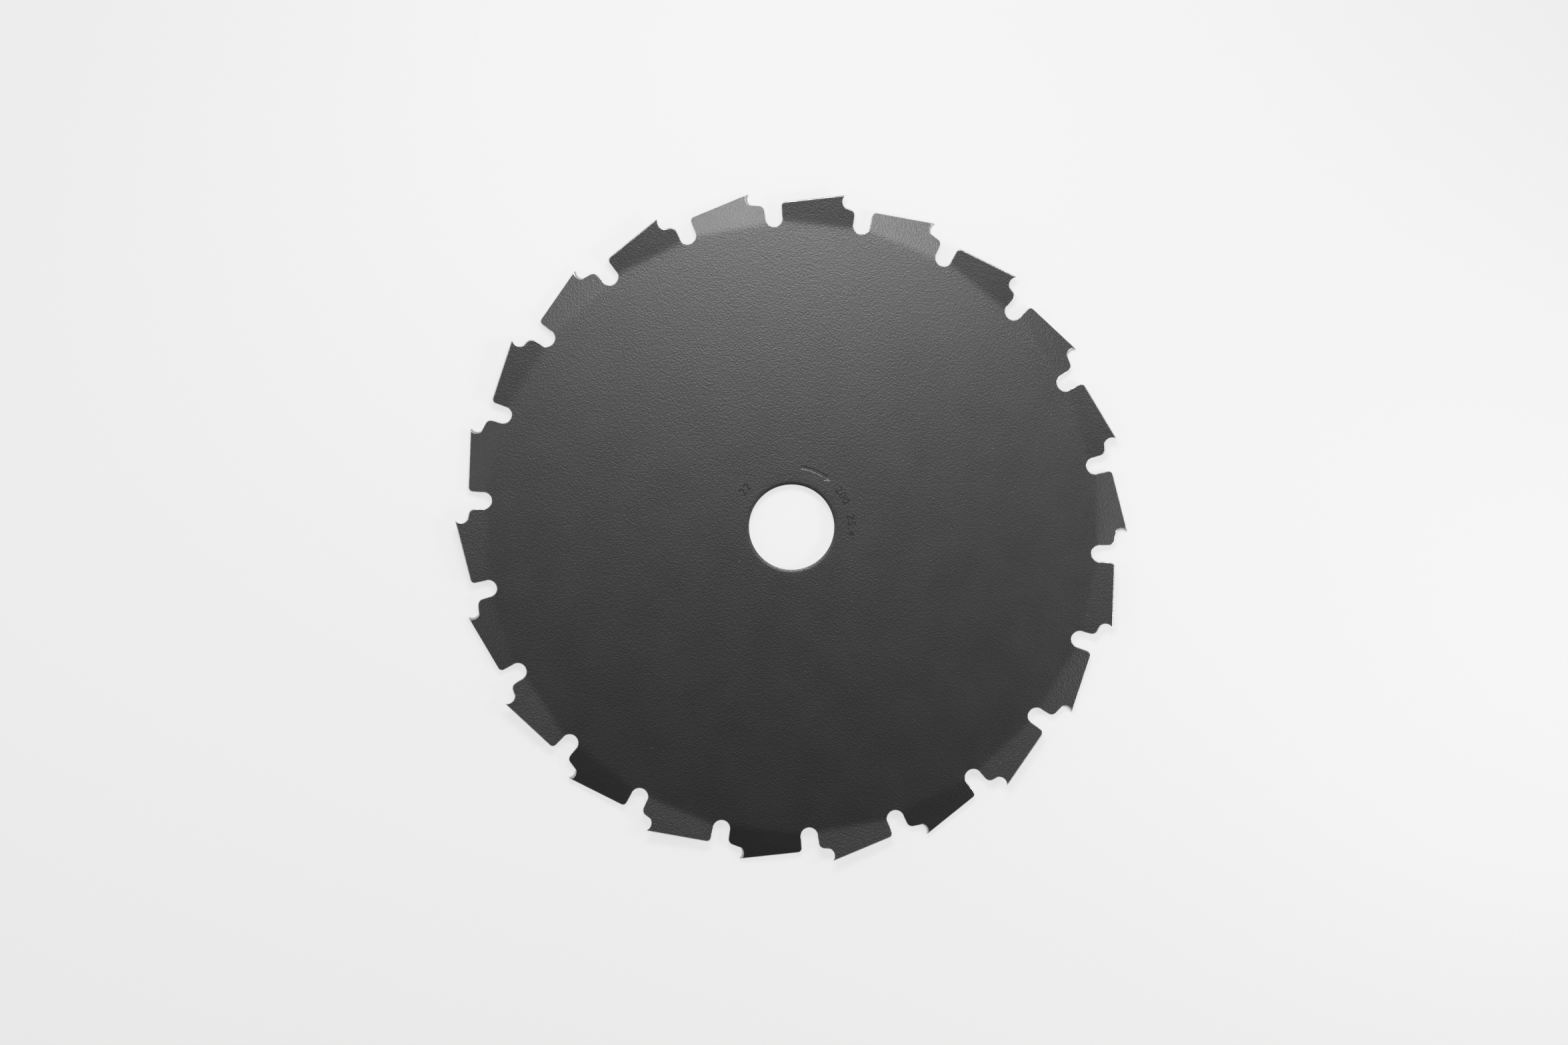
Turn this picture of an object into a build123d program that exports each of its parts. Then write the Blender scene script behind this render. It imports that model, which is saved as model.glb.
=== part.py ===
from build123d import *
import os
from math import acos, cos, degrees, radians, sin

# A one-piece steel saw blade for a brush cutter: a flat disc with a round bore, and chisel teeth set
# alternately up and down, parted by round-bottomed slots. Millimetres and degrees. The axis of the
# bore is Z, and the origin is on it at half the thickness. Seen from above, the blade turns clockwise.

# Disc
blade_diameter = 200.0
thickness = 1.5
tooth_pairs = 11
first_tip_angle = 15.25

# Bore: its upper edge is drawn down by the punch, and its lower edge is only broken
bore_diameter = 25.4
bore_roll_width = 1.05
bore_roll_depth = 0.2
bore_break = 0.12

# Slots, one ahead of each tooth: their walls open outwards from a round floor that is a hair wider
slot_width = 4.9
slot_floor_overcut = 0.06
slot_depth = 10.4
slot_lead = 6.1
slot_front_lean = 2.1
slot_flare = 5.0

# The front of the tooth is filed round. The file meets the tip at the hook angle, and it leans along
# the rim so that the outer side of the set is the sharp one. The teeth set down are filed deeper.
file_diameter = 5.0
file_lean = 22.0
hook_angle = 41.3
down_set_deeper = 0.3

# The step ahead of the filed round lies a little above the round's lowest point and falls forwards
step_rise = 0.55
step_slope = 11.0
step_corner_radius = 1.8

# The long edge behind the tip, and the heel that it ends in
back_angle = 15.5
heel_corner_radius = 1.25

# The set: each tooth is bent over a narrow band, whose middle passes just outside the slots' floors
set_angle = 8.0
bend_band = 2.0
bend_past_floor = 0.9
bend_skew = 2.75

# Lengths and angles that follow from these
tip_radius = blade_diameter / 2
bore_radius = bore_diameter / 2
half = thickness / 2
pitch = 180 / tooth_pairs
rise = radians(set_angle)
skew = radians(bend_skew)
floor_circle_radius = slot_width / 2 + slot_floor_overcut
slot_centre_radius = tip_radius - slot_depth + floor_circle_radius
slot_angle = degrees(acos(slot_lead / slot_centre_radius))
front_lean = 90 + slot_front_lean
heel_lean = front_lean + pitch - slot_flare
file_radius = file_diameter / 2
file_ahead = file_radius * cos(radians(hook_angle)) / cos(radians(file_lean))
file_below = file_radius * sin(radians(hook_angle))
bend_start_distance = tip_radius - slot_depth + bend_past_floor - bend_band / 2
bend_radius = bend_band / sin(rise)
clear_past = 2 * thickness + slot_width


def along(point, angle, distance):
    """The point of the plan that lies a distance from another one in a given direction."""
    return (point[0] + distance * cos(radians(angle)), point[1] + distance * sin(radians(angle)))


def crossing(p, p_angle, q, q_angle):
    """Where two lines of the plan cross, each given by a point and a direction."""
    px, py = cos(radians(p_angle)), sin(radians(p_angle))
    qx, qy = cos(radians(q_angle)), sin(radians(q_angle))
    distance = ((q[0] - p[0]) * qy - (q[1] - p[1]) * qx) / (px * qy - py * qx)
    return along(p, p_angle, distance)


def wall_foot(slot, lean, side):
    """Where a slot's wall starts, low enough to lie within the floor's circle on both faces."""
    beside = along(slot, lean + side, slot_width / 2)
    return along(beside, lean, -thickness * sin(rise))


# Places of one tooth in the plan, with its tip on +Y and the slot ahead of it on the +X side
centre = (0.0, 0.0)
tip = (0.0, tip_radius)
slot_ahead = along(centre, slot_angle, slot_centre_radius)
slot_behind = along(centre, slot_angle + pitch, slot_centre_radius)
front_foot = wall_foot(slot_ahead, front_lean, 90)
heel_foot = wall_foot(slot_behind, heel_lean, -90)
step_start = (0.0, tip_radius - file_below - file_radius + step_rise)
step_corner = crossing(front_foot, front_lean, step_start, -step_slope)
heel_corner = crossing(heel_foot, heel_lean, tip, back_angle)
bend_start = along(centre, 90 + bend_skew, bend_start_distance)

# The outer face of a tooth set upwards: a plane whose Y axis climbs from the bend towards the tip
face_start = along(bend_start, 90 + bend_skew, bend_band - half * sin(rise))
face_height = bend_radius * (1 - cos(rise)) + half * cos(rise)
tooth_face = Plane(
    origin=(*face_start, face_height),
    x_dir=(cos(skew), sin(skew), 0),
    z_dir=(sin(rise) * sin(skew), -sin(rise) * cos(skew), cos(rise)),
)


def on_face(point):
    """Coordinates on the tooth's outer face of the point that lies straight above one of the plan."""
    x, y = point[0] - face_start[0], point[1] - face_start[1]
    return (x * cos(skew) + y * sin(skew), (y * cos(skew) - x * sin(skew)) / cos(rise))


def through_tooth(outline):
    """An outline on the outer face, carried through the tooth square to its faces."""
    return extrude(tooth_face * outline, amount=clear_past, both=True)


def straight_outline(points):
    """A closed outline of straight edges on the outer face, from its points in the plan."""
    return make_face(Polyline(*[on_face(p) for p in points], close=True))


def rounded(outline, corner, radius):
    """The outline with the corner that lies above a point of the plan made round."""
    return fillet(outline.vertices().sort_by_distance(on_face(corner)).first, radius)


def set_strip():
    """A strip of the sheet that bends up over the band and runs on past the tip."""
    top = CenterArc((0, bend_radius), bend_radius - half, -90, set_angle)
    under = CenterArc((0, bend_radius), bend_radius + half, -90, set_angle)
    slope = Vector(cos(rise), sin(rise)) * (tip_radius - bend_start_distance + clear_past)
    end = Line(top @ 1 + slope, under @ 1 + slope)
    section = make_face(
        [
            top,
            Line(top @ 1, end @ 0),
            end,
            Line(end @ 1, under @ 1),
            under,
            Line(under @ 0, top @ 0),
        ]
    )
    across = Plane(
        origin=(*bend_start, 0),
        x_dir=(-sin(skew), cos(skew), 0),
        z_dir=(cos(skew), sin(skew), 0),
    )
    reach = slot_centre_radius * sin(radians(pitch)) + clear_past
    return extrude(across * section, amount=reach, both=True)


def tooth_blank():
    """The tooth before it is filed, with the metal ahead of the tip still on."""
    root_radius = bend_start_distance - slot_width
    outline = straight_outline(
        [
            along(centre, slot_angle, root_radius),
            slot_ahead,
            front_foot,
            step_corner,
            crossing((file_ahead / 2, 0), 90, step_start, -step_slope),
            crossing((file_ahead / 2, 0), 90, tip, back_angle),
            heel_corner,
            heel_foot,
            slot_behind,
            along(centre, slot_angle + pitch, root_radius),
        ]
    )
    outline = rounded(outline, step_corner, step_corner_radius)
    outline = rounded(outline, heel_corner, heel_corner_radius)
    return through_tooth(outline)


def file_cut(deeper=0.0):
    """The leant file's path and the open space ahead of it, down to the step."""
    length = 2 * clear_past
    ahead = Box(length, file_diameter, length, align=(Align.MIN, Align.CENTER, Align.CENTER))
    path = Rot(Y=file_lean) * (Cylinder(file_radius, length) + ahead)
    at_tip = tooth_face.location * Pos(*on_face(tip)) * Rot(Z=-bend_skew)
    step_left = along(step_start, 180 - step_slope, clear_past)
    step_right = along(step_start, -step_slope, clear_past)
    above_step = [
        step_left,
        step_right,
        along(step_right, 90, clear_past),
        along(step_left, 90, clear_past),
    ]
    path = at_tip * Pos(file_ahead - deeper, -file_below) * path
    return path & through_tooth(straight_outline(above_step))


def flat_centre():
    """The flat part of the disc, out to where each tooth starts to bend."""
    corners = []
    for k in range(2 * tooth_pairs):
        for angle in (slot_angle, slot_angle + pitch):
            corner = crossing(bend_start, bend_skew, centre, angle)
            corners.append(Vector(*corner).rotate(Axis.Z, k * pitch))
    return extrude(make_face(Polyline(*corners, close=True)), amount=half, both=True)


def bore():
    """The bore's section turned about the axis, with its drawn upper edge and its broken lower one."""
    roll_end = (bore_radius + bore_roll_width, half)
    roll = TangentArc(roll_end, (bore_radius, half - bore_roll_depth), tangent=(-1, 0))
    rest = Polyline(
        roll @ 1,
        (bore_radius, bore_break - half),
        (bore_radius + bore_break, -half),
        (bore_radius + bore_break, -thickness),
        (0, -thickness),
        (0, thickness),
        (bore_radius + bore_roll_width, thickness),
        roll_end,
    )
    return revolve(Plane.XZ * make_face([roll, rest]), Axis.Z)


def around(shape, count, first_angle=0.0):
    """Copies of a shape at even steps round the blade's axis."""
    return [Rot(Z=first_angle + k * 360 / count) * shape for k in range(count)]


def blade():
    """The whole blade, with its first tip at its angle from the X axis."""
    bent = set_strip() & tooth_blank()
    set_up = bent - file_cut()
    set_down = mirror(bent - file_cut(down_set_deeper), about=Plane.XY)
    slot_floor = Pos(*slot_ahead) * Cylinder(floor_circle_radius, 2 * thickness)
    disc = flat_centre() + around(set_up, tooth_pairs) + around(set_down, tooth_pairs, pitch)
    disc -= around(slot_floor, 2 * tooth_pairs)
    disc -= bore()
    return Rot(Z=first_tip_angle - 90) * disc


os.makedirs("parts", exist_ok=True)
export_step(blade(), "parts/brush_cutter_blade.step")
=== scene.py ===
from math import acos, asin, atan2, ceil, cos, degrees, hypot, radians, sin, sqrt, tan

import bmesh
import bpy
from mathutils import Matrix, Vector
from mathutils.geometry import delaunay_2d_cdt, intersect_point_line
from mathutils.kdtree import KDTree


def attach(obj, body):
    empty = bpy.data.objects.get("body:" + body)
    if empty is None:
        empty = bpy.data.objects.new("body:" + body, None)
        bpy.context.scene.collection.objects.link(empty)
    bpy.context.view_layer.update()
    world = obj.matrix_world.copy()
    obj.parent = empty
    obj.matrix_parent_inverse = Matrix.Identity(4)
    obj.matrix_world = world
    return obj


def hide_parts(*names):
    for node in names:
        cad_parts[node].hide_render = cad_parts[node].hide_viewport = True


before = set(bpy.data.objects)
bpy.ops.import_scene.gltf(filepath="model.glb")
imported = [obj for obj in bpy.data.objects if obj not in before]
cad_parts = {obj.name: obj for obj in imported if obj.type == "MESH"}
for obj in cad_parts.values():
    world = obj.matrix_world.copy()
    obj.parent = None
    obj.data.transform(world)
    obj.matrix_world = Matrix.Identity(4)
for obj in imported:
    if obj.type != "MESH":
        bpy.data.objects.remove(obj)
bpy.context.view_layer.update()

# A steel saw blade for a brush cutter. Lengths are in millimetres, as in the part's source, and become
# metres on their way to Blender. The floor's and the lamps' are in metres already. Angles are in degrees.
MM = 0.001

# The blade's own sizes
blade_diameter = 200.0
thickness = 1.5
tooth_pairs = 11
first_tip_angle = 15.25
bore_diameter = 25.4
bore_roll_width = 1.05
bore_roll_depth = 0.2
bore_break = 0.12
slot_width = 4.9
slot_floor_overcut = 0.06
slot_depth = 10.4
slot_lead = 6.1
slot_front_lean = 2.1
slot_flare = 5.0
file_diameter = 5.0
file_lean = 22.0
hook_angle = 41.3
down_set_deeper = 0.3
step_rise = 0.55
step_slope = 11.0
step_corner_radius = 1.8
back_angle = 15.5
heel_corner_radius = 1.25
set_angle = 8.0
bend_band = 2.0
bend_past_floor = 0.9
bend_skew = 2.75

# How far the outline's edges are rounded over, above and below, and the rows of points down its wall
upper_edge_radius = 0.16
lower_edge_radius = 0.1
edge_steps = 4
wall_steps = 3

# The mesh: how many points share a stretch of the outline, a bend or a curve, and the grids' steps
floor_points = 14
wall_points = 4
corner_points = 8
back_points = 16
file_points = 18
step_points = 3
bend_rows = 6
bend_column_step = 1.3
tooth_grid = 1.9
disc_grid = 2.6
mark_grid = 0.9
mark_zone = (15.0, 21.5)
bore_segments = 180
roll_steps = 6
shortest_edge = 1e-5
sharp_angle = 25.0

# How near a grid's points may come to the outlines and to the bends, as shares of a step
line_clearance = 0.5
grid_clearance = 0.45
bend_clearance = 0.7

# Marks pressed into the upper face, on a ring round the bore
arrow_radius = 18.05
arrow_half = 0.6
arrow_head_half = 1.25
arrow_tail = 81.6
arrow_neck = 55.5
arrow_tip = 49.0
arrow_points = 28
arrow_wall = 0.28
arrow_depth = 0.085
numbers = (("200", 32.0), ("25.4", 2.0), ("22", 141.0))
number_size = 3.4
number_spacing = 1.15
number_radius = 18.0
number_base = 16.8
number_wall = 0.06
number_depth = 0.07
glyph_steps = 4

# The rolled face: its grain, which grows smoother towards the right, its patches and its specks
grain_size = 0.47
grain_depth = 0.068
grain_detail = 1.0
grain_roughness = 0.35
grain_turn = (37.0, 23.0, 31.0)
smoother = (15.0, 55.0)
smoother_share = 0.8
patch_size = 14.0
patch_greys = ((0.083, 0.083, 0.084), (0.088, 0.088, 0.089))
patch_roughness = (0.45, 0.47)
speckle_size = 0.8
speckle_share = 0.3
speckle_grey = (0.076, 0.076, 0.077)
speck_cell = 30.0
speck_radius = 0.15
speck_grey = (0.25, 0.25, 0.25)

# The floor, in metres, and its paint
floor_reach = 3.0
floor_grey = (0.5, 0.5, 0.5)
floor_roughness = 0.9
floor_white = 0.72

# The studio: how far up the cove ends and the ceiling starts, from 0 at the horizon to 1 overhead, how
# bright both are, and the lamps in metres and watts
cove_top = 0.2
ceiling_edge = 0.6
cove_level = 1.0
ceiling_level = 0.045
key_place = (0.0, 0.2, 0.3)
key_width = 0.2
key_depth = 0.1
key_power = 1.06
right_place = (0.3, -0.05, 0.2)
right_width = 0.1
right_power = 0.56
left_place = (-0.35, 0.0, 0.3)
left_width = 0.15
left_power = 0.36

# The camera, over the place where the photograph's middle lies on the blade
camera_distance = 1200.0
frame_width = 466.9
camera_over = (-2.26, 1.39)
sensor_width = 36.0
nearest_seen = 50.0
farthest_seen = 20000.0

# Lengths and angles that follow from these. The rise and the skew of the bend are in radians.
tooth_count = 2 * tooth_pairs
pitch = 360 / tooth_count
tip_radius = blade_diameter / 2
bore_radius = bore_diameter / 2
half = thickness / 2
rise = radians(set_angle)
skew = radians(bend_skew)
floor_radius = slot_width / 2 + slot_floor_overcut
slot_radius = tip_radius - slot_depth + floor_radius
slot_angle = degrees(acos(slot_lead / slot_radius))
front_lean = 90 + slot_front_lean
heel_lean = front_lean + pitch - slot_flare
file_radius = file_diameter / 2
file_ahead = file_radius * cos(radians(hook_angle)) / cos(radians(file_lean))
file_below = file_radius * sin(radians(hook_angle))
bend_start_distance = tip_radius - slot_depth + bend_past_floor - bend_band / 2
bend_radius = bend_band / sin(rise)
bend_length = bend_radius * rise


def along(point, angle, distance):
    """The point of the plan that lies a distance from another one in a given direction."""
    return (point[0] + distance * cos(radians(angle)), point[1] + distance * sin(radians(angle)))


def crossing(p, p_angle, q, q_angle):
    """Where two lines of the plan cross, each given by a point and a direction."""
    px, py = cos(radians(p_angle)), sin(radians(p_angle))
    qx, qy = cos(radians(q_angle)), sin(radians(q_angle))
    distance = ((q[0] - p[0]) * qy - (q[1] - p[1]) * qx) / (px * qy - py * qx)
    return along(p, p_angle, distance)


def turned(point, angle):
    """A point of the plan turned about the blade's axis."""
    c, s = cos(radians(angle)), sin(radians(angle))
    return (point[0] * c - point[1] * s, point[0] * s + point[1] * c)


def gap(p, q):
    """The distance between two points of the plan."""
    return hypot(q[0] - p[0], q[1] - p[1])


def direction(p, q):
    """The direction from one point of the plan to another."""
    return degrees(atan2(q[1] - p[1], q[0] - p[0]))


# One tooth in the plan, its tip on +Y and the slot ahead of it on the +X side. The teeth are drawn as
# they were on the flat sheet, before they were set, and bent() then sets them.
centre = (0.0, 0.0)
bend_start = along(centre, 90 + bend_skew, bend_start_distance)


def to_bend(point):
    """Distances of a point along the bend and past its start."""
    x, y = point[0] - bend_start[0], point[1] - bend_start[1]
    return (x * cos(skew) + y * sin(skew), y * cos(skew) - x * sin(skew))


def from_bend(u, v):
    """The point at given distances along the bend and past its start."""
    x = bend_start[0] + u * cos(skew) - v * sin(skew)
    y = bend_start[1] + u * sin(skew) + v * cos(skew)
    return (x, y)


def unbent(point, level):
    """Where a point of the set tooth, at a level of its thickness, was on the flat sheet."""
    u, reach = to_bend(point)
    radius = bend_radius - level
    if reach <= 0:
        return point
    if reach <= radius * sin(rise):
        return from_bend(u, bend_radius * asin(reach / radius))
    return from_bend(u, bend_length + (reach - radius * sin(rise)) / cos(rise))


def bent(point, level):
    """The set tooth's point for one of the flat sheet. Levels grow towards the side it is set to."""
    u, v = to_bend(point)
    turn = min(max(v / bend_radius, 0.0), rise)
    radius = bend_radius - level
    beyond = max(v - bend_length, 0.0)
    reach = min(v, 0.0) + radius * sin(turn) + beyond * cos(rise)
    height = bend_radius - radius * cos(turn) + beyond * sin(rise)
    return (*from_bend(u, reach), height)


def on_sheet(point):
    """Where a corner given on the set tooth's outer face was on the flat sheet."""
    return unbent(point, half)


def sheet_line(start, end):
    """A straight edge on the sheet, as a point and a direction, through two points of the plan."""
    first, last = on_sheet(start), on_sheet(end)
    return first, direction(first, last)


def moved_in(edge, inset):
    """A straight edge of the clockwise outline, moved into the metal."""
    point, angle = edge
    return along(point, angle - 90, inset), angle


# The slots' middles and the corners of the tooth in the plan, and its straight edges on the sheet
slot_ahead = along(centre, slot_angle, slot_radius)
slot_behind = along(centre, slot_angle + pitch, slot_radius)
tip = (0.0, tip_radius)
beside_front = along(slot_ahead, front_lean + 90, slot_width / 2)
beside_heel = along(slot_behind, heel_lean - 90, slot_width / 2)
step_start = (0.0, tip_radius - file_below - file_radius + step_rise)
step_corner = crossing(beside_front, front_lean, step_start, -step_slope)
heel_corner = crossing(beside_heel, heel_lean, tip, back_angle)
heel_wall = sheet_line(along(beside_heel, heel_lean, bend_band), heel_corner)
back_edge = sheet_line(heel_corner, tip)
step_edge = sheet_line(step_start, step_corner)
front_wall = sheet_line(step_corner, along(beside_front, front_lean, bend_band))
file_at_tip = along(along(on_sheet(tip), 0, file_ahead), -90, file_below)


def spaced(p, q, count):
    """Evenly spaced points from p up to, but without, q."""
    dx, dy = q[0] - p[0], q[1] - p[1]
    return [(p[0] + dx * i / count, p[1] + dy * i / count) for i in range(count)]


def arc(middle, radius, start, sweep, count):
    """Points of a circle up to, but without, its end, with the count of steps in the sweep."""
    return [along(middle, start + sweep * i / count, radius) for i in range(count)]


def turn_between(start, end):
    """The turn from one direction to another, from -180 to 180."""
    return (end - start + 180) % 360 - 180


def round_crossing(middle, radius, stretch, edge, near):
    """Where an edge crosses an ellipse that is stretched along X: the crossing nearer to a point."""
    point, angle = edge
    x, y = (point[0] - middle[0]) / stretch, point[1] - middle[1]
    dx, dy = cos(radians(angle)) / stretch, sin(radians(angle))
    a = dx * dx + dy * dy
    b = x * dx + y * dy
    root = sqrt(b * b - a * (x * x + y * y - radius**2))
    found = [along(point, angle, (sign * root - b) / a) for sign in (-1, 1)]
    return min(found, key=lambda p: gap(p, near))


def fillet(edge, next_edge, radius, count):
    """The round corner between two straight edges, from its first point to its last one."""
    corner = crossing(*edge, *next_edge)
    turn = turn_between(edge[1], next_edge[1])
    back = radius * tan(radians(abs(turn) / 2))
    first = along(corner, edge[1] + 180, back)
    side = 90 if turn > 0 else -90
    middle = along(first, edge[1] + side, radius)
    return [along(middle, edge[1] - side + turn * i / count, radius) for i in range(count + 1)]


def slot_floor(slot, radius, start, end):
    """The stretch of a slot's round floor that lies between the directions of two points."""
    first = direction(slot, start)
    return arc(slot, radius, first, (direction(slot, end) - first) % 360, floor_points)


def filed_round(depth, deeper, inset):
    """The file's round at a depth below the outer face, from the tip down to the step's start."""
    stretch = 1 / cos(radians(file_lean))
    radius = file_radius + inset
    middle = along(file_at_tip, 180, depth * tan(radians(file_lean)) + deeper)
    top = round_crossing(middle, radius, stretch, moved_in(back_edge, inset), on_sheet(tip))
    below = along(along(middle, 180, file_radius), -90, file_radius)
    foot = round_crossing(middle, radius, stretch, moved_in(step_edge, inset), below)
    angles = [atan2(y - middle[1], (x - middle[0]) / stretch) for x, y in (top, foot)]
    sweep = (angles[1] - angles[0]) % radians(360)
    points = []
    for i in range(file_points):
        angle = angles[0] + sweep * i / file_points
        points.append((middle[0] + radius * stretch * cos(angle), middle[1] + radius * sin(angle)))
    return points, foot


def tooth_outline(depth, deeper, inset):
    """The outline of the drawn tooth on the sheet, at a depth below its outer face and moved into the
    metal, clockwise from the lowest point of the slot behind it to that of the slot ahead. Each stretch
    has the same count of points at every depth. With the points comes the finish of each."""
    radius = floor_radius + inset
    heel, back, step, front = (
        moved_in(edge, inset) for edge in (heel_wall, back_edge, step_edge, front_wall)
    )
    heel_foot = round_crossing(slot_behind, radius, 1.0, heel, heel_corner)
    front_foot = round_crossing(slot_ahead, radius, 1.0, front, step_corner)
    heel_round = fillet(heel, back, heel_corner_radius - inset, corner_points)
    step_round = fillet(step, front, step_corner_radius - inset, corner_points)
    filed, step_foot = filed_round(depth, deeper, inset)
    stretches = [
        (slot_floor(slot_behind, radius, centre, heel_foot), "cut"),
        (spaced(heel_foot, heel_round[0], wall_points), "cut"),
        (heel_round[:-1], "cut"),
        (spaced(heel_round[-1], filed[0], back_points), "cut"),
        (filed, "filed"),
        (spaced(step_foot, step_round[0], step_points), "cut"),
        (step_round[:-1], "cut"),
        (spaced(step_round[-1], front_foot, wall_points), "cut"),
        (slot_floor(slot_ahead, radius, front_foot, centre), "cut"),
    ]
    points = [p for stretch, finish in stretches for p in stretch]
    return points, [finish for stretch, finish in stretches for p in stretch]


def inward(points, distance):
    """A closed clockwise outline moved inwards, without the points that come too near to it."""
    moved = []
    edges = [(points[i - 1], points[i]) for i in range(len(points))]
    for i, point in enumerate(points):
        a = radians(direction(points[i - 1], point))
        b = radians(direction(point, points[(i + 1) % len(points)]))
        across = Vector((sin(a) + sin(b), -cos(a) - cos(b)))
        shift = across * (2 * distance / across.length_squared)
        moved.append(Vector(point) + shift)
    near_enough = distance - shortest_edge
    return [tuple(p) for p in moved if min(edge_distance(p, *edge) for edge in edges) > near_enough]


def edge_distance(point, start, end):
    """How far a point lies from a straight edge."""
    foot, share = intersect_point_line(point, Vector(start), Vector(end))
    if share <= 0:
        foot = Vector(start)
    elif share >= 1:
        foot = Vector(end)
    return (point - foot.to_2d()).length


def edge_levels():
    """Rows of the wall from the upper face to the lower one: how far each lies inwards and below."""
    rows = []
    for i in range(edge_steps + 1):
        a = radians(90 * i / edge_steps)
        rows.append((upper_edge_radius * (1 - sin(a)), upper_edge_radius * (1 - cos(a))))
    straight = thickness - upper_edge_radius - lower_edge_radius
    for i in range(1, wall_steps):
        rows.append((0.0, upper_edge_radius + straight * i / wall_steps))
    for i in range(edge_steps + 1):
        a = radians(90 * i / edge_steps)
        rows.append(
            (lower_edge_radius * (1 - cos(a)), thickness - lower_edge_radius * (1 - sin(a)))
        )
    return rows


class Tooth:
    """One tooth: which way it is set, and how far it is turned from the drawn one."""

    def __init__(self, index):
        self.set_up = index % 2 == 0
        self.angle = first_tip_angle + index * pitch - 90
        self.deeper = 0.0 if self.set_up else down_set_deeper

    def outline(self, below, inset):
        """The drawn tooth's outline at a distance below the upper face, moved into the metal."""
        depth = below if self.set_up else thickness - below
        return tooth_outline(depth, self.deeper, inset)

    def place(self, point, below):
        """The point of the set tooth for one of the sheet, at a distance below the upper face."""
        side = 1 if self.set_up else -1
        x, y, z = bent(turned(point, -self.angle), side * (half - below))
        return Vector((*turned((x, y), self.angle), side * z))


teeth = [Tooth(index) for index in range(tooth_count)]


def tooth_at(point):
    """The tooth whose part of the sheet a point lies in."""
    angle = degrees(atan2(point[1], point[0])) - (slot_angle - 90) - first_tip_angle
    return teeth[int(angle % 360 // pitch)]


# The finishes. They lie in the blade's own coordinates, and their sizes are in millimetres.
class Finish:
    """A finish while its nodes are made."""

    def __init__(self, name, metallic=1.0):
        self.material = bpy.data.materials.new(name)
        self.material.use_nodes = True
        self.tree = self.material.node_tree
        self.shader = self.tree.nodes["Principled BSDF"]
        self.shader.inputs["Metallic"].default_value = metallic
        self.place = self.tree.nodes.new("ShaderNodeTexCoord").outputs["Object"]

    def link(self, source, target):
        self.tree.links.new(source, target)

    def axis(self, name):
        """The place along one axis of the blade, in metres."""
        node = self.tree.nodes.new("ShaderNodeSeparateXYZ")
        self.link(self.place, node.inputs[0])
        return node.outputs[name]

    def drawn_out(self, times):
        """Coordinates in which a pattern is that many times longer through the sheet than across it."""
        node = self.tree.nodes.new("ShaderNodeMapping")
        node.inputs["Scale"].default_value = (1.0, 1.0, 1 / times)
        self.link(self.place, node.inputs["Vector"])
        return node.outputs[0]

    def oblique(self, turn):
        """Coordinates turned out of the blade's plane, so that a noise's grid doesn't show in it."""
        node = self.tree.nodes.new("ShaderNodeMapping")
        node.inputs["Rotation"].default_value = [radians(angle) for angle in turn]
        self.link(self.place, node.inputs["Vector"])
        return node.outputs[0]

    def noise(self, size, detail=2.0, place=None, roughness=0.5):
        """Noise whose grains are about a size across, in millimetres."""
        node = self.tree.nodes.new("ShaderNodeTexNoise")
        node.inputs["Scale"].default_value = 1 / (size * MM)
        node.inputs["Detail"].default_value = detail
        node.inputs["Roughness"].default_value = roughness
        self.link(place or self.place, node.inputs["Vector"])
        return node.outputs["Fac"]

    def specks(self, cell, radius):
        """One where a tiny speck lies, about one to a square cell of the plan, and zero elsewhere."""
        node = self.tree.nodes.new("ShaderNodeTexVoronoi")
        node.voronoi_dimensions = "2D"
        node.inputs["Scale"].default_value = 1 / (cell * MM)
        self.link(self.place, node.inputs["Vector"])
        return self.ranged(node.outputs["Distance"], 1.0, 0.0, radius / cell / 2, radius / cell)

    def ranged(self, value, low, high, start=0.3, end=0.7):
        """A value between start and end, where most of a noise lies, brought between low and high."""
        node = self.tree.nodes.new("ShaderNodeMapRange")
        for name, number in (("From Min", start), ("From Max", end), ("To Min", low), ("To Max", high)):
            node.inputs[name].default_value = number
        self.link(value, node.inputs["Value"])
        return node.outputs[0]

    def mixed(self, factor, first, second):
        """A colour between two others."""
        node = self.tree.nodes.new("ShaderNodeMix")
        node.data_type = "RGBA"
        self.link(factor, node.inputs["Factor"])
        for name, colour in (("A", first), ("B", second)):
            socket = next(s for s in node.inputs if s.name == name and s.type == "RGBA")
            if isinstance(colour, tuple):
                socket.default_value = (*colour, 1.0)
            else:
                self.link(colour, socket)
        return next(s for s in node.outputs if s.type == "RGBA")

    def combined(self, operation, first, second):
        """What a mathematical operation makes of a value and another one or a number."""
        node = self.tree.nodes.new("ShaderNodeMath")
        node.operation = operation
        self.link(first, node.inputs[0])
        if isinstance(second, float):
            node.inputs[1].default_value = second
        else:
            self.link(second, node.inputs[1])
        return node.outputs[0]

    def bump(self, height, depth, strength=None):
        """The normal of a relief of a depth in millimetres, weaker where its strength is under one."""
        node = self.tree.nodes.new("ShaderNodeBump")
        node.inputs["Distance"].default_value = depth * MM
        self.link(height, node.inputs["Height"])
        if strength is not None:
            self.link(strength, node.inputs["Strength"])
        return node.outputs[0]

    def set(self, name, value):
        """Gives the shader a number or a colour of its own, or links what makes one."""
        socket = self.shader.inputs[name]
        if isinstance(value, float):
            socket.default_value = value
        elif isinstance(value, tuple):
            socket.default_value = (*value, 1.0)
        else:
            self.link(value, socket)


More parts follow.
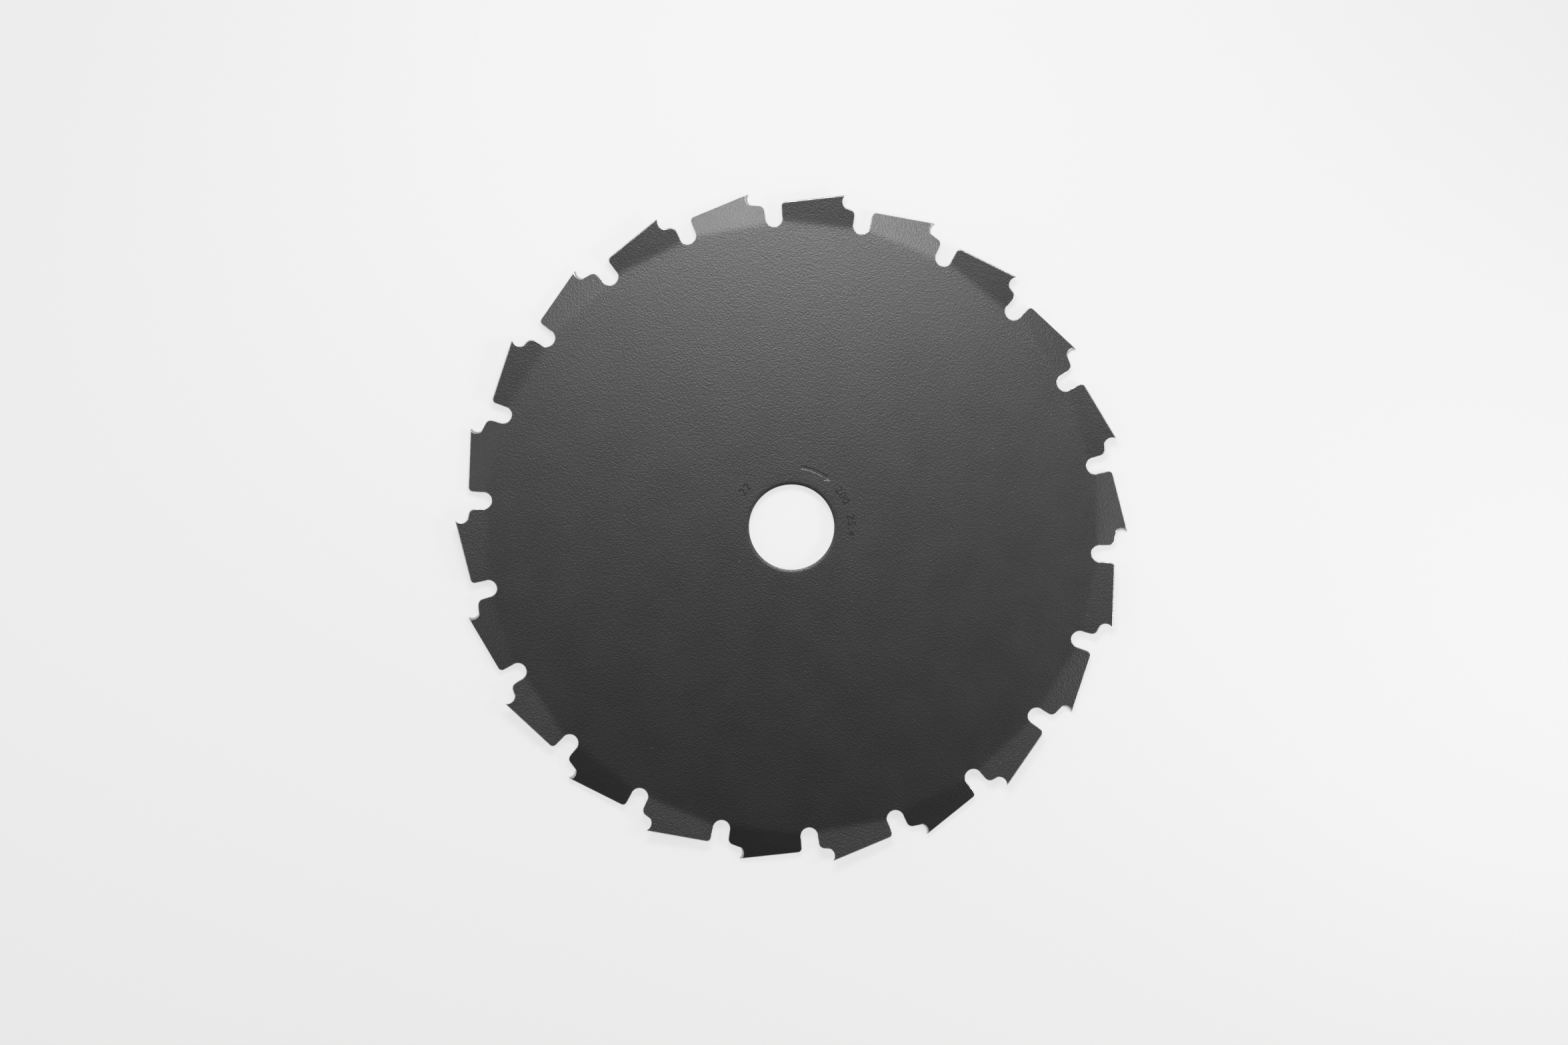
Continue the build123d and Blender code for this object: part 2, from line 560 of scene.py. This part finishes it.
def rolled_steel():
    """Dark rolled sheet with the fine uneven grain that rolling and tempering leave."""
    finish = Finish("rolled_steel")
    grain = finish.noise(grain_size, grain_detail, finish.oblique(grain_turn), grain_roughness)
    patches = finish.noise(patch_size, detail=3.0)
    speckle = finish.noise(speckle_size)
    colour = finish.mixed(finish.ranged(patches, 0.0, 1.0), *patch_greys)
    colour = finish.mixed(finish.ranged(speckle, 0.0, speckle_share), colour, speckle_grey)
    colour = finish.mixed(finish.specks(speck_cell, speck_radius), colour, speck_grey)
    finish.set("Base Color", colour)
    finish.set("Roughness", finish.ranged(patches, *patch_roughness))
    across = finish.ranged(finish.axis("X"), 1.0, smoother_share, *(x * MM for x in smoother))
    finish.set("Normal", finish.bump(grain, grain_depth, across))
    return finish.material


def patchy_steel(name, size, detail, colours, roughness):
    """Steel whose colour and roughness change together, in patches of about a size."""
    finish = Finish(name)
    patches = finish.noise(size, detail)
    finish.set("Base Color", finish.mixed(finish.ranged(patches, 0.0, 1.0), *colours))
    finish.set("Roughness", finish.ranged(patches, *roughness))
    return finish.material


def lined_steel(name, width, times_longer, depth, colours, roughness):
    """Steel with fine marks through the sheet, that many times longer than they are wide."""
    finish = Finish(name)
    lines = finish.noise(width, place=finish.drawn_out(times_longer))
    finish.set("Base Color", finish.mixed(lines, *colours))
    finish.set("Roughness", finish.ranged(lines, *roughness))
    finish.set("Normal", finish.bump(lines, depth))
    return finish.material


def rubbed_steel_and_highlight():
    """Edges rubbed bright, their colour raised further as a painted highlight along the rims."""
    return patchy_steel(
        "rubbed_steel_and_highlight",
        size=1.6,
        detail=3.0,
        # These greys are partly bare rubbed steel and partly a painted highlight along the rounded edges.
        colours=((0.36, 0.36, 0.356), (0.6, 0.592, 0.577)),
        roughness=(0.45, 0.34),
    )


def cut_steel():
    """The punched wall of the outline, with marks through the sheet's thickness."""
    return lined_steel(
        "cut_steel",
        width=0.22,
        times_longer=12.0,
        depth=0.03,
        colours=((0.18, 0.18, 0.179), (0.34, 0.337, 0.33)),
        roughness=(0.5, 0.38),
    )


def filed_steel():
    """Bright file strokes along the file's path."""
    return lined_steel(
        "filed_steel",
        width=0.12,
        times_longer=20.0,
        depth=0.01,
        colours=((0.56, 0.553, 0.534), (0.84, 0.826, 0.797)),
        roughness=(0.38, 0.28),
    )


def stamp_floor_painted_shade():
    """The floor of a stamped number, painted dark as the shade that falls in its recess."""
    return patchy_steel(
        "stamp_floor_painted_shade",
        size=0.3,
        detail=2.0,
        colours=((0.03, 0.03, 0.03), (0.05, 0.05, 0.05)),
        roughness=(0.55, 0.65),
    )


def floor_paint():
    """Pale matt paint that shows nearly white to the camera and in reflections."""
    finish = Finish("floor_paint", metallic=0.0)
    finish.set("Roughness", floor_roughness)
    finish.set("Specular IOR Level", 0.0)
    finish.set("Base Color", floor_grey)
    nodes = finish.tree.nodes
    rays = nodes.new("ShaderNodeLightPath")
    seen = rays.outputs["Is Camera Ray"]
    for name in ("Is Glossy Ray", "Is Transmission Ray"):
        seen = finish.combined("MAXIMUM", seen, rays.outputs[name])
    white = nodes.new("ShaderNodeEmission")
    white.inputs["Color"].default_value = (1.0, 1.0, 1.0, 1.0)
    mix = nodes.new("ShaderNodeMixShader")
    finish.link(finish.combined("MULTIPLY", seen, floor_white), mix.inputs[0])
    finish.link(finish.shader.outputs[0], mix.inputs[1])
    finish.link(white.outputs[0], mix.inputs[2])
    finish.link(mix.outputs[0], nodes["Material Output"].inputs["Surface"])
    return finish.material


class Skin:
    """The blade's surface while it is made: points, faces with their finishes, and crisp edges."""

    def __init__(self):
        self.points = []
        self.faces = []
        self.finishes = []
        self.crisp = set()

    def add(self, point):
        """Adds a point and returns its number."""
        self.points.append(Vector(point))
        return len(self.points) - 1

    def face(self, corners, finish):
        """Adds a face by the numbers of its corners."""
        self.faces.append(tuple(corners))
        self.finishes.append(finish)

    def crisp_ring(self, row):
        """Keeps the shading of the two sides of a closed row of points apart."""
        for i in range(len(row)):
            self.crisp.add(frozenset((row[i - 1], row[i])))

    def bands(self, rows, finish_of):
        """Quads between closed rows of equally many points."""
        for r in range(len(rows) - 1):
            upper, lower = rows[r], rows[r + 1]
            for i in range(len(upper)):
                j = (i + 1) % len(upper)
                self.face((upper[i], upper[j], lower[j], lower[i]), finish_of(r, i))


def whole_outline(inset, below):
    """The blade's outline on the sheet at one level: its points, and each one's tooth and finish."""
    sheet = []
    owners = []
    kinds = []
    for tooth in reversed(teeth):
        points, point_kinds = tooth.outline(below, inset)
        sheet += [turned(p, tooth.angle) for p in points]
        owners += [tooth] * len(points)
        kinds += point_kinds
    return sheet, owners, kinds


def rim(skin):
    """The wall of the whole outline with its rounded edges. Returns its first and last row, each as
    points of the skin and as places on the sheet."""
    levels = edge_levels()
    rows = []
    sheets = []
    for inset, below in levels:
        sheet, owners, kinds = whole_outline(inset, below)
        rows.append([skin.add(tooth.place(p, below)) for p, tooth in zip(sheet, owners)])
        sheets.append(sheet)
    first_filed_row = edge_steps + 1
    last_edge_row = len(levels) - 1 - edge_steps

    # The rounded edges take the rubbed finish, whose pale colour is partly a painted highlight.
    def finish_of(row, i):
        if row < edge_steps:
            return "worn"
        if kinds[i] == "filed" and row >= first_filed_row:
            return "filed"
        return "cut" if row < last_edge_row else "worn"

    skin.bands(rows, finish_of)
    skin.crisp_ring(rows[0])
    skin.crisp_ring(rows[-1])
    return (rows[0], sheets[0]), (rows[-1], sheets[-1])


def bore_section():
    """Radius and height of each ring of the bore, from the drawn upper edge to the broken lower one."""
    roll_radius = (bore_roll_width**2 + bore_roll_depth**2) / (2 * bore_roll_depth)
    roll_turn = asin(bore_roll_width / roll_radius)
    rings = []
    for i in range(roll_steps + 1):
        turn = roll_turn * i / roll_steps
        inwards = roll_radius * sin(turn)
        rings.append((bore_radius + bore_roll_width - inwards, half - roll_radius * (1 - cos(turn))))
    rings.append((bore_radius, 0.0))
    rings.append((bore_radius, bore_break - half))
    rings.append((bore_radius + bore_break, -half))
    return rings


def bore_wall(skin):
    """The bore's surface. Returns its first and last row as the rim does."""
    rings = []
    rows = []
    for radius, height in bore_section():
        ring = [along(centre, 360 * i / bore_segments, radius) for i in range(bore_segments)]
        rings.append(ring)
        rows.append([skin.add((x, y, height)) for x, y in ring])

    def finish_of(row, i):
        if row < roll_steps:
            return "rolled"
        # The bore's broken lower edge takes the rubbed finish with its painted highlight.
        return "worn" if row == len(rows) - 2 else "cut"

    skin.bands(rows, finish_of)
    skin.crisp_ring(rows[-1])
    return (rows[0], rings[0]), (rows[-1], rings[-1])


def bend_grid():
    """Rows of points across the bend of each tooth, on the sheet."""
    points = []
    reach = slot_radius * sin(radians(pitch))
    columns = ceil(2 * reach / bend_column_step)
    for tooth in teeth:
        for row in range(bend_rows):
            v = bend_length * row / (bend_rows - 1)
            for i in range(columns + 1):
                u = reach * (2 * i + row % 2) / columns - reach
                point = turned(from_bend(u, v), tooth.angle)
                if tooth_at(point) is tooth:
                    points.append(point)
    return points


def hexagonal(step, inner, outer):
    """A grid of points in a ring of the plan."""
    row_step = step * sqrt(0.75)
    rows = int(outer / row_step) + 1
    columns = int(outer / step) + 1
    points = []
    for j in range(-rows, rows + 1):
        for i in range(-columns, columns + 1):
            point = ((i + 0.5 * (j % 2)) * step, j * row_step)
            if inner <= hypot(*point) <= outer:
                points.append(point)
    return points


def tree_of(points):
    """A tree that finds the nearest of some points of the plan."""
    tree = KDTree(len(points))
    for i, (x, y) in enumerate(points):
        tree.insert((x, y, 0.0), i)
    tree.balance()
    return tree


def filler(fixed):
    """Points that fill a face of the blade, no nearer than they should be to the fixed ones."""
    bends = bend_grid()
    near_bends = tree_of(bends)
    free = [(p, bend_column_step * line_clearance) for p in bends]
    free += [(p, mark_grid * line_clearance) for p in hexagonal(mark_grid, *mark_zone)]
    for step, inner, outer in (
        (disc_grid, bore_radius, mark_zone[0] - mark_grid / 2),
        (disc_grid, mark_zone[1] + mark_grid / 2, bend_start_distance),
        (tooth_grid, bend_start_distance, tip_radius + bend_band),
    ):
        for x, y in hexagonal(step, inner, outer):
            if near_bends.find((x, y, 0.0))[2] > bend_column_step * bend_clearance:
                free.append(((x, y), step * grid_clearance))
    near_fixed = tree_of(fixed)
    return [p for p, spacing in free if near_fixed.find((*p, 0.0))[2] > spacing]


class FacePlan:
    """The points of a face on the flat sheet, each with its number in the skin once it is there, how
    deep it is pressed in, and its finish. The edges between them are the outlines."""

    def __init__(self):
        self.places = []
        self.known = []
        self.depths = []
        self.finishes = []
        self.edges = []

    def add(self, places, known=None, depth=0.0, finish="rolled"):
        """Adds points and returns their numbers."""
        numbers = range(len(self.places), len(self.places) + len(places))
        self.places += places
        self.known += known or [None] * len(places)
        self.depths += [depth] * len(places)
        self.finishes += [finish] * len(places)
        return numbers

    def add_outline(self, places, known=None, depth=0.0, finish="rolled"):
        """Adds a closed outline and returns its points' numbers."""
        ring = self.add(places, known, depth, finish)
        self.edges += [(ring[i - 1], ring[i]) for i in range(len(ring))]
        return ring

    def triangles(self):
        """The triangles between the outlines, with the number and the place of each corner."""
        inside_outlines = 1
        points = [Vector(place) for place in self.places]
        made = delaunay_2d_cdt(points, self.edges, [], inside_outlines, shortest_edge)
        places, origins = made[0], made[3]
        return [[(origins[i][0], places[i]) for i in corners] for corners in made[2]]

    def skin_point(self, skin, number, place, below):
        """The number in the skin of a point of the plan, which is added there if it is new."""
        if self.known[number] is None:
            on_face = tooth_at(place).place(place, below)
            self.known[number] = skin.add(on_face - Vector((0, 0, self.depths[number])))
        return self.known[number]


def face_sheet(skin, outer, inner, below, mark_outlines=()):
    """A face of the blade between its outline and the bore, with marks pressed into it."""
    plan = FacePlan()
    plan.add_outline(outer[1], outer[0])
    plan.add_outline(inner[1], inner[0])
    rings = [plan.add_outline(loop, None, depth, finish) for loop, depth, finish in mark_outlines]
    plan.add(filler(plan.places))
    bore = set(inner[0])
    for corners in plan.triangles():
        numbers = [number for number, place in corners]
        if bore.issuperset(plan.known[i] for i in numbers):
            continue
        kinds = {plan.finishes[i] for i in numbers}
        finish = kinds.pop() if len(kinds) == 1 else "rolled"
        skin.face([plan.skin_point(skin, i, place, below) for i, place in corners], finish)
    for ring in rings:
        skin.crisp_ring([plan.known[i] for i in ring])


def arrow_side(offset):
    """A long side of the arrow's shaft, from its tail to its neck."""
    sweep = arrow_neck - arrow_tail
    angles = [arrow_tail + sweep * i / arrow_points for i in range(arrow_points + 1)]
    return [along(centre, angle, arrow_radius + offset) for angle in angles]


def arrow():
    """The outline of the arrow that shows which way the blade turns, clockwise."""
    head = [
        along(centre, arrow_neck, arrow_radius + arrow_head_half),
        along(centre, arrow_tip, arrow_radius),
        along(centre, arrow_neck, arrow_radius - arrow_head_half),
    ]
    return arrow_side(arrow_half) + head + arrow_side(-arrow_half)[::-1]


def bezier_points(spline, count):
    """Points of a closed Bezier spline, with the count of steps in each curved stretch."""
    knots = spline.bezier_points
    points = []
    for i in range(len(knots)):
        a, b = knots[i], knots[(i + 1) % len(knots)]
        straight = a.handle_right_type == "VECTOR" and b.handle_left_type == "VECTOR"
        steps = 1 if straight else count
        for k in range(steps):
            t = k / steps
            p = (
                (1 - t) ** 3 * a.co
                + 3 * (1 - t) ** 2 * t * a.handle_right
                + 3 * (1 - t) * t**2 * b.handle_left
                + t**3 * b.co
            )
            points.append((p.x, p.y))
    return points


def thinned(points, spacing):
    """A closed outline without the points that lie too near to the one before them."""
    return [p for i, p in enumerate(points) if gap(points[i - 1], p) > spacing]


def number_outlines(text, angle):
    """Outlines of a number that stands on the ring of marks, its top outwards, clockwise."""
    curve = bpy.data.curves.new("number", "FONT")
    curve.body = text
    curve.size = number_size
    curve.space_character = number_spacing
    curve.align_x = "CENTER"
    carrier = bpy.data.objects.new("number", curve)
    bpy.context.scene.collection.objects.link(carrier)
    depsgraph = bpy.context.evaluated_depsgraph_get()
    outlines = []
    for spline in carrier.evaluated_get(depsgraph).to_curve(depsgraph).splines:
        flat = reversed(thinned(bezier_points(spline, glyph_steps), number_wall))
        outlines.append(
            [along(centre, angle - degrees(x / number_radius), number_base + y) for x, y in flat]
        )
    bpy.data.objects.remove(carrier)
    bpy.data.curves.remove(curve)
    return outlines


def pressed(outline, wall, depth, finish):
    """A mark's outline on the face, and the one of its floor, which has a finish."""
    return [(outline, 0.0, "rolled"), (inward(outline, wall), depth, finish)]


def marks():
    """The outlines of all marks, each with its depth and its finish."""
    made = pressed(arrow(), arrow_wall, arrow_depth, "rolled")
    for text, angle in numbers:
        for outline in number_outlines(text, angle):
            # The numbers' floors take a dark colour that paints in the shade of their recesses.
            made += pressed(outline, number_wall, number_depth, "stamped")
    return made


# The finish of each kind of surface, in the order of the mesh's material slots
finishes = {
    "rolled": rolled_steel,
    "worn": rubbed_steel_and_highlight,
    "cut": cut_steel,
    "filed": filed_steel,
    "stamped": stamp_floor_painted_shade,
}


def blade_skin():
    """The whole surface of the blade."""
    skin = Skin()
    upper_rim, lower_rim = rim(skin)
    upper_bore, lower_bore = bore_wall(skin)
    face_sheet(skin, upper_rim, upper_bore, 0.0, marks())
    face_sheet(skin, lower_rim, lower_bore, thickness)
    return skin


def turn_outwards(mesh):
    """Turns all faces of a closed mesh outwards."""
    surface = bmesh.new()
    surface.from_mesh(mesh)
    bmesh.ops.recalc_face_normals(surface, faces=surface.faces)
    surface.to_mesh(mesh)
    surface.free()


def smooth(mesh, crisp):
    """Smooth shading that stops at sharp bends and at the crisp edges."""
    mesh.shade_smooth()
    mesh.set_sharp_from_angle(angle=radians(sharp_angle))
    sharp = mesh.attributes["sharp_edge"].data
    for edge in mesh.edges:
        if frozenset(edge.vertices) in crisp:
            sharp[edge.index].value = True


def saw_blade():
    """The blade as one closed mesh with its finishes."""
    skin = blade_skin()
    mesh = bpy.data.meshes.new("saw_blade")
    mesh.from_pydata([p * MM for p in skin.points], [], skin.faces)
    order = list(finishes)
    mesh.polygons.foreach_set("material_index", [order.index(f) for f in skin.finishes])
    turn_outwards(mesh)
    smooth(mesh, skin.crisp)
    for make in finishes.values():
        mesh.materials.append(make())
    return mesh


def new_object(name, data):
    """An object in the scene for a mesh, a lamp or a camera."""
    made = bpy.data.objects.new(name, data)
    bpy.context.scene.collection.objects.link(made)
    return made


def pale_floor(height):
    """The floor that the blade lies on."""
    mesh = bpy.data.meshes.new("floor")
    signs = ((-1, -1), (1, -1), (1, 1), (-1, 1))
    corners = [(x * floor_reach, y * floor_reach, height) for x, y in signs]
    mesh.from_pydata(corners, [], [(0, 1, 2, 3)])
    mesh.materials.append(floor_paint())
    new_object("floor", mesh)


def studio():
    """A pale cove round a dimmer ceiling."""
    world = bpy.data.worlds.new("studio")
    world.use_nodes = True
    tree = world.node_tree
    background = tree.nodes["Background"]
    coordinates = tree.nodes.new("ShaderNodeTexCoord")
    height = tree.nodes.new("ShaderNodeSeparateXYZ")
    ramp = tree.nodes.new("ShaderNodeMapRange")
    ramp.interpolation_type = "SMOOTHSTEP"
    ramp.inputs["From Min"].default_value = cove_top
    ramp.inputs["From Max"].default_value = ceiling_edge
    ramp.inputs["To Min"].default_value = cove_level
    ramp.inputs["To Max"].default_value = ceiling_level
    tree.links.new(coordinates.outputs["Generated"], height.inputs[0])
    tree.links.new(height.outputs["Z"], ramp.inputs["Value"])
    tree.links.new(ramp.outputs[0], background.inputs["Strength"])
    background.inputs["Color"].default_value = (1.0, 1.0, 1.0, 1.0)
    bpy.context.scene.world = world


def softbox(name, place, width, depth, power):
    """A soft light that faces the middle of the blade."""
    data = bpy.data.lights.new(name, "AREA")
    data.shape = "RECTANGLE"
    data.size = width
    data.size_y = depth
    data.energy = power
    lamp = new_object(name, data)
    lamp.location = place
    lamp.rotation_euler = (-Vector(place)).to_track_quat("-Z", "Y").to_euler()


def camera_above():
    """The camera, which looks straight down."""
    data = bpy.data.cameras.new("camera")
    data.sensor_width = sensor_width
    data.lens = sensor_width * camera_distance / frame_width
    data.clip_start = nearest_seen * MM
    data.clip_end = farthest_seen * MM
    camera = new_object("camera", data)
    camera.location = (camera_over[0] * MM, camera_over[1] * MM, camera_distance * MM)
    bpy.context.scene.camera = camera


blade = new_object("saw_blade", saw_blade())
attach(blade, "root")
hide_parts("brush_cutter_blade")

pale_floor(min(v.co.z for v in blade.data.vertices))
studio()
softbox("key", key_place, key_width, key_depth, key_power)
softbox("right", right_place, right_width, right_width, right_power)
softbox("left", left_place, left_width, left_width, left_power)
camera_above()
bpy.context.scene.view_settings.view_transform = "Standard"
